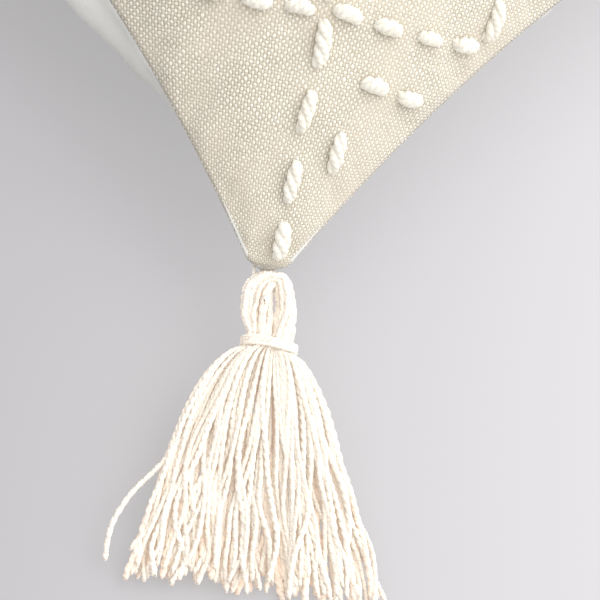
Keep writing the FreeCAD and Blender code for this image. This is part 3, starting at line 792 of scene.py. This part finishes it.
def link_threads(corner):
    """Three turns of sewing thread between the corner bar and the yarn loop."""
    corners = [Vector((0, 0)), Vector((LINK_LENGTH, -LINK_HALF_HEIGHT)),
               Vector((LINK_LENGTH, LINK_HALF_HEIGHT))]
    outline = []
    for i, centre in enumerate(corners):
        before, after = corners[i - 1], corners[(i + 1) % 3]
        first = (centre - before).normalized()
        last = (after - centre).normalized()
        start = math.atan2(-first.x, first.y) + math.pi
        turn = first.angle_signed(last)
        for k in range(9):
            angle = start - turn * k / 8
            outline.append((centre.x + LINK_TURN * math.cos(angle),
                            centre.y + LINK_TURN * math.sin(angle)))
    outline = np.array(outline)
    closed = np.concatenate([outline, outline[:1]])
    travel = strand_travel(closed[None])[0]
    rings = 150
    along = np.linspace(0, LINK_TURNS * travel[-1], rings)
    x = np.interp(along % travel[-1], travel, closed[:, 0])
    z = np.interp(along % travel[-1], travel, closed[:, 1])
    y = np.linspace(-0.36, 0.36, rings)
    paths = to_frame(np.stack([x, y, z], -1)[None], corner)
    radii = np.full((1, rings), LINK_THREAD)
    return tube_mesh(f"tassel_{corner}_link_thread", paths, radii, sides=6)


# ---- materials

class Nodes:
    """Short way to write a material's node tree."""

    def __init__(self, name):
        self.material = bpy.data.materials.new(name)
        self.material.use_nodes = True
        self.tree = self.material.node_tree
        self.shader = self.tree.nodes["Principled BSDF"]

    def put(self, kind, inputs=(), **settings):
        node = self.tree.nodes.new(kind)
        for key, value in settings.items():
            setattr(node, key, value)
        for key, value in dict(inputs).items():
            self.join(value, node.inputs[key])
        return node

    def join(self, value, socket):
        if isinstance(value, bpy.types.NodeSocket):
            self.tree.links.new(value, socket)
        else:
            socket.default_value = value

    def math(self, operation, *values):
        return self.put("ShaderNodeMath", enumerate(values), operation=operation).outputs[0]

    def times(self, first, second):
        return self.math("MULTIPLY", first, second)

    def vector(self, operation, first, second):
        node = self.put("ShaderNodeVectorMath", {0: first, 1: second}, operation=operation)
        return node.outputs["Value" if operation == "DOT_PRODUCT" else "Vector"]

    def mix(self, share, first, second):
        node = self.put("ShaderNodeMix", data_type="RGBA")
        self.join(share, node.inputs[0])
        self.join(first, node.inputs[6])
        self.join(second, node.inputs[7])
        return node.outputs[2]

    def noise(self, place, scale, detail=2.0, roughness=0.5):
        inputs = {"Vector": place, "Scale": scale, "Detail": detail, "Roughness": roughness}
        return self.put("ShaderNodeTexNoise", inputs).outputs["Fac"]

    def spread(self, value, low=0.3, high=0.7, out_low=0.0, out_high=1.0):
        inputs = {"Value": value, "From Min": low, "From Max": high,
                  "To Min": out_low, "To Max": out_high}
        return self.put("ShaderNodeMapRange", inputs).outputs[0]

    def object_place(self):
        return self.put("ShaderNodeTexCoord").outputs["Object"]

    def attribute(self, name, output="Fac"):
        return self.put("ShaderNodeAttribute", attribute_name=name).outputs[output]

    def bump(self, height, strength, distance):
        inputs = {"Height": height, "Strength": strength, "Distance": distance}
        return self.put("ShaderNodeBump", inputs).outputs[0]

    def finish(self, **inputs):
        for key, value in inputs.items():
            self.join(value, self.shader.inputs[key.replace("_", " ")])
        return self.material


def rgb(red, green, blue):
    """Linear colour from an sRGB one of 0 to 255."""
    def linear(value):
        value /= 255
        return value / 12.92 if value <= 0.04045 else ((value + 0.055) / 1.055) ** 2.4
    return (linear(red), linear(green), linear(blue), 1.0)


def weave_heights(n, cloth, across_pitch, along_pitch):
    """Heights of the two thread systems of a plain weave, the number of the thread in each,
    and the place across them counted in threads."""
    parts = n.put("ShaderNodeSeparateXYZ", {"Vector": cloth})
    u = n.math("DIVIDE", parts.outputs[1], across_pitch * MM)
    v = n.math("DIVIDE", parts.outputs[0], along_pitch * MM)
    column, row = n.math("FLOOR", u), n.math("FLOOR", v)

    def rounded(value):
        inside = n.math("SUBTRACT", n.times(n.math("FRACT", value), 2.0), 1.0)
        square = n.times(inside, inside)
        return n.math("SQRT", n.math("MAXIMUM", n.math("SUBTRACT", 1.0, square), 0.0))

    def over(travel, thread, shift):
        """Rise and dip of one thread as it crosses the others."""
        turn = n.times(n.math("ADD", n.math("ADD", travel, thread), shift), math.pi)
        return n.math("ADD", n.times(n.math("SINE", turn), 0.5), 0.5)

    lengthwise = n.times(rounded(u), over(v, column, 0.0))
    crosswise = n.times(rounded(v), over(u, row, 1.0))
    return lengthwise, crosswise, column, row, u, v


def woven_cloth():
    """Loose natural plain weave: pale lengthwise threads over darker crosswise ones."""
    n = Nodes("woven_cloth")
    cloth = n.attribute("cloth", "Vector")
    uneven = n.put("ShaderNodeTexNoise", {"Vector": cloth, "Scale": 380.0, "Detail": 1.0})
    shift = n.vector("SUBTRACT", uneven.outputs["Color"], (0.5, 0.5, 0.5))
    shift = n.put("ShaderNodeVectorMath", {0: shift, "Scale": WEAVE_DRIFT * MM},
                  operation="SCALE").outputs[0]
    bent = n.vector("ADD", cloth, shift)
    lengthwise, crosswise, column, row, u, v = weave_heights(n, bent, WARP_PITCH, WEFT_PITCH)
    height = n.math("MAXIMUM", lengthwise, n.times(crosswise, 0.8))
    columns = n.put("ShaderNodeCombineXYZ", {0: column, 1: n.times(v, 0.08)})
    slub = n.noise(columns.outputs[0], 1.0, 2.0, 0.6)
    rows = n.put("ShaderNodeCombineXYZ", {0: row, 1: n.times(u, 0.08), 2: 9.0})
    row_slub = n.noise(rows.outputs[0], 1.0, 2.0, 0.6)
    patches = n.noise(cloth, 38.0, 3.0, 0.55)
    pale = n.mix(n.spread(slub), rgb(210, 204, 188), rgb(228, 224, 212))
    dark = n.mix(n.spread(row_slub), rgb(178, 170, 151), rgb(208, 201, 184))
    # Where both thread systems dip low, between the threads, the colour is darker: painted shade
    # in the gaps of the weave, its tone varying at random in patches.
    painted_gap_shade = n.mix(n.spread(patches, 0.35, 0.68), rgb(150, 141, 121), rgb(180, 170, 151))
    threads = n.mix(n.spread(n.math("SUBTRACT", lengthwise, crosswise), -0.25, 0.35), dark, pale)
    colour = n.mix(n.spread(height, 0.2, 0.72), painted_gap_shade, threads)
    tinted = n.mix(n.spread(patches, 0.45, 0.65, 0.0, 0.3), colour, rgb(192, 181, 160))
    fibre = n.noise(cloth, 5200.0, 2.0, 0.6)
    relief = n.math("ADD", height, n.times(fibre, 0.22))
    return n.finish(Base_Color=tinted, Normal=n.bump(relief, 0.75, 0.00055), Roughness=0.92,
                    Sheen_Weight=0.25, Sheen_Roughness=0.5, Specular_IOR_Level=0.15)


def plain_cloth(name, colour, shade, pitch=0.42):
    """Smooth fine cotton. Its colour goes over to shade at random in patches, and also where the
    threads dip low between each other, which is painted shade.
    """
    n = Nodes(name)
    cloth = n.attribute("cloth", "Vector")
    height = n.math("MAXIMUM", *weave_heights(n, cloth, pitch, pitch)[:2])
    patches = n.noise(cloth, 30.0, 4.0, 0.6)
    tone = n.mix(n.spread(patches, 0.35, 0.65), colour, shade)
    # Painted shade: darker where the threads dip low, between them.
    tone = n.mix(n.spread(height, 0.2, 0.8, 0.25, 0.0), tone, shade)
    creases = n.noise(cloth, 160.0, 3.0, 0.5)
    relief = n.math("ADD", n.times(height, 0.35), creases)
    return n.finish(Base_Color=tone, Normal=n.bump(relief, 0.4, 0.0003), Roughness=0.85,
                    Sheen_Weight=0.2, Specular_IOR_Level=0.2)


def yarn(name, light, deep, glow):
    """Soft brushed yarn, its strands a little apart in tone. The glow stands for the warm
    light that its fibres pass on to each other."""
    n = Nodes(name)
    place = n.object_place()
    strand = n.attribute("strand")
    depth = n.attribute("depth")
    fibres = n.noise(place, 1500.0, 4.0, 0.7)
    patches = n.noise(place, 120.0, 2.0, 0.5)
    share = n.math("ADD", n.times(strand, 0.5), n.times(patches, 0.5))
    tone = n.mix(n.spread(share, 0.15, 0.8), light, deep)
    # Darker where the fibres' relief is low: painted shade in the hollows between fibres.
    tone = n.mix(n.spread(fibres, 0.35, 0.6, 0.35, 0.0), tone, deep)
    # Strands deep in a bundle go over to a warm peach: painted warm shade, for the light that
    # reaches them only through other strands.
    tone = n.mix(n.spread(depth, 0.45, 1.0, 0.0, 0.8), tone, rgb(246, 218, 196))
    ply = n.put("ShaderNodeSeparateXYZ", {"Vector": n.attribute("ply", "Vector")})
    turn = n.times(ply.outputs[2], 4 * math.pi / PLY_PITCH)
    ridge = n.math("ADD", n.times(ply.outputs[0], n.math("COSINE", turn)),
                   n.times(ply.outputs[1], n.math("SINE", turn)))
    # Darker in the grooves between the twisted plies: painted shade.
    tone = n.mix(n.spread(ridge, -1.0, 0.3, 0.3, 0.0), tone, deep)
    relief = n.math("ADD", ridge, fibres)
    return n.finish(Base_Color=tone, Normal=n.bump(relief, 0.5, 0.0003), Roughness=0.95,
                    Sheen_Weight=0.5, Sheen_Roughness=0.4, Specular_IOR_Level=0.1,
                    Subsurface_Weight=0.1, Subsurface_Radius=(1.0, 0.82, 0.68),
                    Subsurface_Scale=0.002, Emission_Color=rgb(255, 228, 206),
                    Emission_Strength=glow)


def sewing_thread(name, dark, light):
    """Glossy twisted thread."""
    n = Nodes(name)
    place = n.object_place()
    ply = n.put("ShaderNodeTexWave", {"Vector": place, "Scale": 900.0, "Distortion": 2.0})
    # The tone follows the twist's relief, darker where it is low: painted shade in the grooves of
    # the twist.
    tone = n.mix(ply.outputs["Fac"], dark, light)
    return n.finish(Base_Color=tone, Normal=n.bump(ply.outputs["Fac"], 0.5, 0.0002),
                    Roughness=0.7, Sheen_Weight=0.2)


def fibre_filling():
    n = Nodes("fibre")
    place = n.object_place()
    tufts = n.noise(place, 90.0, 6.0, 0.7)
    tone = n.mix(n.spread(tufts), rgb(246, 246, 244), rgb(226, 226, 224))
    return n.finish(Base_Color=tone, Normal=n.bump(tufts, 0.8, 0.004), Roughness=1.0,
                    Sheen_Weight=0.4)


def zip_tape_cloth():
    n = Nodes("zip_tape")
    place = n.object_place()
    parts = n.put("ShaderNodeSeparateXYZ", {"Vector": place})
    ribs = n.math("SINE", n.times(parts.outputs[0], 2 * math.pi / (0.8 * MM)))
    lines = n.math("SINE", n.times(parts.outputs[2], 2 * math.pi / (0.6 * MM)))
    weave = n.times(ribs, lines)
    # Darker where the weave's relief is low: painted shade in the hollows of the tape.
    tone = n.mix(n.spread(weave, -1, 1), rgb(206, 199, 182), rgb(226, 219, 203))
    return n.finish(Base_Color=tone, Normal=n.bump(weave, 0.4, 0.0002), Roughness=0.85,
                    Sheen_Weight=0.2)


def moulded_plastic():
    n = Nodes("zip_plastic")
    place = n.object_place()
    grain = n.noise(place, 900.0, 3.0, 0.6)
    tone = n.mix(n.spread(grain), rgb(228, 222, 206), rgb(218, 211, 194))
    rough = n.spread(grain, 0.3, 0.7, 0.4, 0.52)
    return n.finish(Base_Color=tone, Normal=n.bump(grain, 0.12, 0.0001), Roughness=rough)


def painted_metal():
    n = Nodes("zip_metal")
    place = n.object_place()
    grain = n.noise(place, 500.0, 4.0, 0.6)
    wear = n.noise(place, 1400.0, 2.0, 0.7)
    tone = n.mix(n.spread(grain), rgb(232, 227, 214), rgb(222, 216, 202))
    tone = n.mix(n.spread(wear, 0.66, 0.74, 0.0, 0.5), tone, rgb(178, 176, 170))
    rough = n.spread(grain, 0.3, 0.7, 0.3, 0.42)
    return n.finish(Base_Color=tone, Normal=n.bump(grain, 0.08, 0.0001), Roughness=rough)


def floor_material():
    """Pale matt floor with a painted glow that keeps shadows faint, brighter towards one side as
    a painted falloff of light.
    """
    n = Nodes("floor")
    place = n.object_place()
    towards, _ = floor_axes()
    across = n.vector("DOT_PRODUCT", n.vector("SUBTRACT", place, corner_point()), towards)
    share = n.put("ShaderNodeMapRange", {"Value": across, "From Min": -0.32, "From Max": 0.3},
                  interpolation_type="SMOOTHSTEP").outputs[0]
    # Painted light: colour and glow grow brighter towards the view's right, standing in for the
    # light's falloff.
    tone = n.mix(share, rgb(86, 84, 85), rgb(127, 126, 127))
    return n.finish(Base_Color=tone, Roughness=0.9, Specular_IOR_Level=0.1,
                    Emission_Color=(0.985, 0.97, 0.98, 1.0),
                    Emission_Strength=n.spread(share, 0.0, 1.0, 0.31, 0.5))


# ---- the scene

def paint(piece, material):
    piece.data.materials.clear()
    piece.data.materials.append(material)


def take_place(piece, body, look, node):
    """Paints a piece and puts it on its body in place of a CAD node."""
    paint(piece, materials[look])
    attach(piece, body)
    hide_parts(node)


def paint_node(node, material):
    thing = frame["nodes"][node]
    for slot in thing.material_slots:
        slot.material = material
    if not thing.material_slots:
        thing.data.materials.append(material)


def build_cover():
    wrinkles = {side: settle(moved, side) for side, moved in simulate_cover().items()}
    front, back = Panel("front", wrinkles["front"]), Panel("back", wrinkles["back"])
    front_cover = cover_panel("front_cover", front, 192)
    take_place(front_cover, "root", "woven_cloth", "front_panel")
    back_cover = cover_panel("back_cover", back, 128)
    take_place(back_cover, "root", "plain_cloth", "back_panel")
    return front


def insert_surface(side, inset, depth, cells, seed, roughness):
    """One side of the insert at a depth below the cover, and its shares of the cloth."""
    line = np.linspace(-1, 1, cells + 1)
    a, b = np.meshgrid(line, line, indexing="ij")
    sign = 1 if side == "front" else -1
    crown = FRONT_CROWN - depth if side == "front" else depth - BACK_CROWN
    floor = None if side == "front" else depth
    points = formula(a, b, crown, inset, floor, sign * PANEL_GAP / 2)
    rise = waves(points[..., 0], points[..., 1], seed, 14, 18, 60)
    edge = smooth_step(1 - np.maximum(np.abs(a), np.abs(b)), 0, 0.2)
    points[..., 2] -= sign * roughness * (1 + rise / 2) * edge
    return points, a, b


def build_insert():
    for side, sign in (("front", 1), ("back", -1)):
        outer, a, b = insert_surface(side, INSERT_SHORTFALL, CASING_INSET, 64, 31, 0.6)
        inner = outer.copy()
        inner[..., :2] *= 1 - CASING_EDGE / HALF
        inner[..., 2] -= sign * CASING_CLOTH
        cloth = np.stack([a, b, 0 * a], -1) * EDGE
        casing = sheet_mesh(f"insert_casing_{side}_cloth", outer, inner, side == "back", cloth)
        take_place(casing, "root", "casing_cloth", f"insert_casing_{side}")
    top, a, b = insert_surface("front", FILL_SHORTFALL, FILL_INSET, 72, 33, 1.2)
    bottom, _, _ = insert_surface("back", FILL_SHORTFALL, FILL_INSET, 72, 34, 0.8)
    cloth = np.stack([a, b, 0 * a], -1)
    filling = sheet_mesh("filling", top, bottom, False, cloth)
    take_place(filling, "root", "fibre", "fibre_fill")


def build_stitches(front):
    kinds = {"along": line_places(True), "across": line_places(False),
             "diamonds": diamond_places()}
    for seed, (kind, places) in enumerate(kinds.items()):
        piece = yarn_stitches(f"stitches_{kind}", front, places, 41 + seed)
        take_place(piece, "root", "stitch_yarn", f"yarn_stitches_{kind}")


def build_tassels():
    for seed, corner in enumerate(CORNERS):
        body = f"tassel_{corner}"
        take_place(tassel_skirt(corner, 60 + seed), body, "tassel_yarn", f"{body}_skirt")
        take_place(loop_strands(corner, 70 + seed), body, "tassel_yarn", f"{body}_loop")
        take_place(neck_wrap(corner, 80 + seed), body, "tassel_yarn", f"{body}_wrap")
        take_place(link_threads(corner), f"link_{corner}", "sewing_thread", f"{body}_link")


def paint_cad_nodes():
    """The small parts that keep their CAD shape."""
    kinds = {
        "seam_thread": ["seam_thread_left", "seam_thread_top", "seam_thread_right",
                        "seam_thread_bottom", "insert_seam_thread"],
        "sewing_thread": ["corner_bars", "zip_topstitch_front", "zip_topstitch_back"],
        "zip_tape": ["zip_tape_front", "zip_tape_back"],
        "zip_plastic": ["zip_teeth_front", "zip_teeth_back", "zip_top_stops",
                        "zip_bottom_stop"],
        "zip_metal": ["zip_slider", "zip_pull"],
    }
    for name, nodes in kinds.items():
        for node in nodes:
            paint_node(node, materials[name])


def view_axes():
    """Direction to the camera, and the view's right and up."""
    flat = math.cos(VIEW_ELEVATION)
    back = Vector((math.sin(VIEW_AZIMUTH) * flat, -math.cos(VIEW_AZIMUTH) * flat,
                   math.sin(VIEW_ELEVATION)))
    level = (-back).cross(Vector((0, 0, 1))).normalized()
    upright = level.cross(-back)
    right = math.cos(VIEW_ROLL) * level + math.sin(VIEW_ROLL) * upright
    up = math.cos(VIEW_ROLL) * upright - math.sin(VIEW_ROLL) * level
    return back, right, up


def floor_axes():
    """The view's right and down, laid on the floor."""
    _, right, up = view_axes()
    return Vector((right.x, right.y, 0)).normalized(), Vector((-up.x, -up.y, 0)).normalized()


def corner_point():
    return Vector((HALF, -HALF, CORNER_HEIGHT)) * MM


def build_camera():
    """Camera on one corner, which stands a little off the middle of the view."""
    back, right, up = view_axes()
    data = bpy.data.cameras.new("camera")
    data.sensor_width = SENSOR
    data.lens = SENSOR * VIEW_DISTANCE / VIEW_WIDTH
    data.shift_x = VIEW_OFFSET[0] / VIEW_WIDTH
    data.shift_y = VIEW_OFFSET[1] / VIEW_WIDTH
    camera = new_object("camera", data)
    place = corner_point() + back * VIEW_DISTANCE * MM
    axes = Matrix((right, up, back)).transposed().to_4x4()
    camera.matrix_world = Matrix.Translation(place) @ axes
    bpy.context.scene.camera = camera


def area_light(name, place, target, size, power, colour):
    data = bpy.data.lights.new(name, "AREA")
    data.size = size
    data.energy = power
    data.color = colour
    light = new_object(name, data)
    aim = (target - place).to_track_quat("-Z", "Y").to_matrix().to_4x4()
    light.matrix_world = Matrix.Translation(place) @ aim


def lean_world(world, towards):
    """Makes the sky brighter on one side, like a room with a window."""
    nodes, links = world.node_tree.nodes, world.node_tree.links
    place = nodes.new("ShaderNodeTexCoord")
    facing = nodes.new("ShaderNodeVectorMath")
    facing.operation = "DOT_PRODUCT"
    facing.inputs[1].default_value = towards.normalized()
    links.new(place.outputs["Generated"], facing.inputs[0])
    level = nodes.new("ShaderNodeMapRange")
    for name, value in (("From Min", -1), ("From Max", 1), ("To Min", 0.5), ("To Max", 2.0)):
        level.inputs[name].default_value = value
    links.new(facing.outputs["Value"], level.inputs["Value"])
    links.new(level.outputs[0], nodes["Background"].inputs["Strength"])


def build_studio(floor_look):
    corner = corner_point()
    flat_right, flat_down = floor_axes()
    key_place = corner + flat_right * 0.8 - flat_down * 0.48 + Vector((0, 0, 1.04))
    area_light("key", key_place, corner, 1.6, 10.2, (1.0, 0.985, 0.95))
    world = bpy.data.worlds.new("studio")
    world.use_nodes = True
    world.node_tree.nodes["Background"].inputs["Color"].default_value = (0.97, 0.965, 1.0, 1.0)
    lean_world(world, flat_right * 0.9 + Vector((0, 0, 1.0)))
    bpy.context.scene.world = world
    size = 12.0
    mesh = bpy.data.meshes.new("floor")
    corners = [(-size, -size, 0), (size, -size, 0), (size, size, 0), (-size, size, 0)]
    mesh.from_pydata(corners, [], [(0, 1, 2, 3)])
    floor = new_object("floor", mesh)
    paint(floor, floor_look)
    bpy.context.scene.view_settings.view_transform = "Standard"


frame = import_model()
materials = {
    "woven_cloth": woven_cloth(),
    "plain_cloth": plain_cloth("plain_cloth", rgb(208, 208, 202), rgb(196, 196, 189)),
    "casing_cloth": plain_cloth("casing_cloth", rgb(244, 244, 242), rgb(234, 234, 232), 0.5),
    "stitch_yarn": yarn("stitch_yarn", rgb(226, 225, 214), rgb(214, 210, 195), 0.06),
    "tassel_yarn": yarn("tassel_yarn", rgb(223, 221, 211), rgb(219, 211, 196), 0.18),
    "sewing_thread": sewing_thread("sewing_thread", rgb(226, 219, 203), rgb(246, 242, 231)),
    "seam_thread": sewing_thread("seam_thread", rgb(190, 181, 160), rgb(216, 208, 188)),
    "fibre": fibre_filling(),
    "zip_tape": zip_tape_cloth(),
    "zip_plastic": moulded_plastic(),
    "zip_metal": painted_metal(),
}
front_side = build_cover()
build_insert()
build_stitches(front_side)
build_tassels()
paint_cad_nodes()
build_camera()
build_studio(floor_material())
